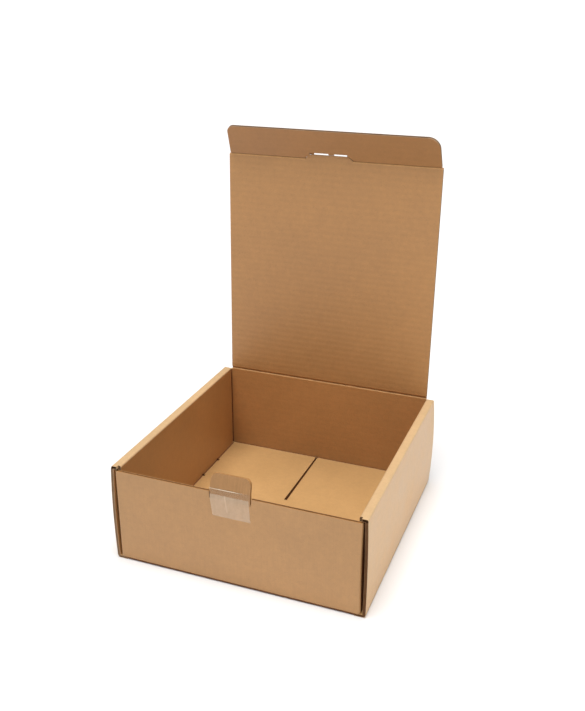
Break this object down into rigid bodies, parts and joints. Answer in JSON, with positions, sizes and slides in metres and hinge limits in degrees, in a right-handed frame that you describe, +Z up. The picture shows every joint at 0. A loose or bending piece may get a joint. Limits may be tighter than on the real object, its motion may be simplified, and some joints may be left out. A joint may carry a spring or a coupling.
{
  "type": "corrugated mailer box",
  "caption": "Square kraft corrugated mailer box folded from one sheet, with rolled side walls and a hinged lid standing open that ends in a tuck flap and locks on a tab in the front wall.",
  "frame": {"origin": "middle of the base's underside, on the surface that the box stands on", "axes": "+Z up, +X to the right seen from the front, +Y from the front wall to the rear wall and its hinged lid"},
  "size_m": [0.31, 0.3186, 0.464],
  "materials": {
    "kraft_board": "matt, faint flute lines, lighter raw edges",
    "clear_film": "clear gloss adhesive film, slightly milky"
  },
  "bodies": {
    "tray": {"tray": "kraft_board", "clear_tape": "clear_film"},
    "lid": {"lid": "kraft_board"},
    "tuck_flap": {"tuck_flap": "kraft_board"},
    "lock_tab": {"lock_tab": "kraft_board"}
  },
  "joints": [
    {"name": "lid_hinge", "type": "hinge", "parent": "tray", "child": "lid", "pos_m": [0, 0.15295, 0.1246], "axis": [-1, 0, 0], "range_deg": [-91.7, 28.3]},
    {"name": "tuck_fold", "type": "hinge", "parent": "lid", "child": "tuck_flap", "pos_m": [0, 0.16191, 0.42657], "axis": [-1, 0, 0], "range_deg": [-76.5, 23.75]},
    {"name": "tab_fold", "type": "hinge", "parent": "tray", "child": "lock_tab", "pos_m": [0, -0.15295, 0.1112], "axis": [-1, 0, 0], "range_deg": [-30.5, 9.5], "deforming": ["clear_tape"]}
  ],
  "couplings": [
    {"joint": "tuck_fold", "follows": "lid_hinge", "ratio": 0.8315},
    {"joint": "tab_fold", "follows": "lid_hinge", "ratio": 0.33}
  ]
}
